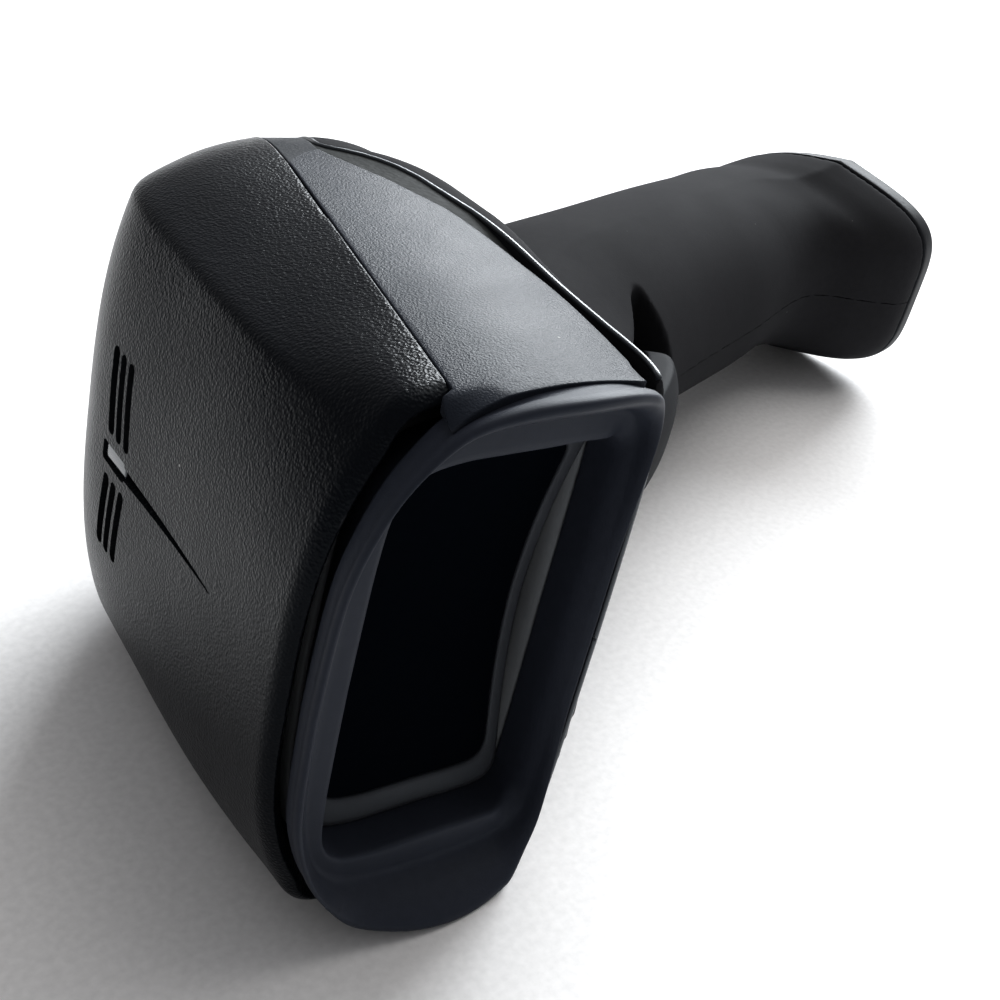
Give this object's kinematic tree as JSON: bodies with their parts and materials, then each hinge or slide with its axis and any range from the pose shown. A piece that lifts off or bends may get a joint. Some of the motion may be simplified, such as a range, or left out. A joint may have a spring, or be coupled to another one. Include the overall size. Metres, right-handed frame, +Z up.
{
  "type": "handheld barcode scanner",
  "caption": "Cordless pistol-grip barcode scanner lying on its side: wide hooded scan head, tilted grip with finger trigger, flared foot with charging port.",
  "frame": {"origin": "centre of the bounding box at the surface the scanner lies on", "axes": "+X from the top of the head towards the foot of the grip, +Y from the scan window towards the back of the head, +Z up, across the width of the scanner"},
  "size_m": [0.18, 0.1138, 0.0698],
  "materials": {
    "grained_black": "spark grain",
    "satin_grey": "satin, fine texture",
    "matt_black": "matt, fine texture",
    "soft_slate": "soft touch",
    "smoked_pane": "polished",
    "clear_lens": "smooth",
    "board": "solder mask",
    "dark_plastic": "smooth",
    "steel": "plated",
    "brass": "plain",
    "cell": "shrink wrap"
  },
  "bodies": {
    "housing": {"top_cover": "grained_black", "status_lens": "clear_lens", "head_shell": "satin_grey", "handle_shell_upper": "matt_black", "handle_shell_lower": "matt_black", "base_cap": "matt_black", "bezel": "soft_slate", "window_frame": "satin_grey", "scan_window": "smoked_pane", "trigger_pin": "steel", "trigger_spring": "steel", "trigger_switch": "dark_plastic", "main_board": "board", "charge_port": "steel", "battery_cell": "cell", "head_flex": "brass", "engine_chassis": "dark_plastic", "imaging_lens": "dark_plastic", "illumination_bar": "board", "sensor_board": "board", "decode_board": "board", "beeper": "dark_plastic", "status_led": "board", "housing_screw_1": "steel", "housing_screw_2": "steel", "cap_screw_lower": "steel", "cap_screw_upper": "steel", "engine_screw_1": "steel", "engine_screw_2": "steel"},
    "trigger": {"trigger": "soft_slate"},
    "plunger": {"switch_plunger": "clear_lens"}
  },
  "joints": [
    {"name": "trigger_pull", "type": "hinge", "parent": "housing", "child": "trigger", "pos_m": [-0.03191, -0.02272, 0.03152], "axis": [0.0962, 0.0063, 0.9953], "range_deg": [0, 5], "stiffness_Nm_per_rad": 0.3, "springref_deg": -5.73},
    {"name": "plunger_travel", "type": "slide", "parent": "housing", "child": "plunger", "axis": [-0.3404, 0.9399, 0.027], "range_m": [0, 0.00131]}
  ],
  "couplings": [
    {"joint": "plunger_travel", "follows": "trigger_pull", "m_per_rad": 0.015}
  ]
}
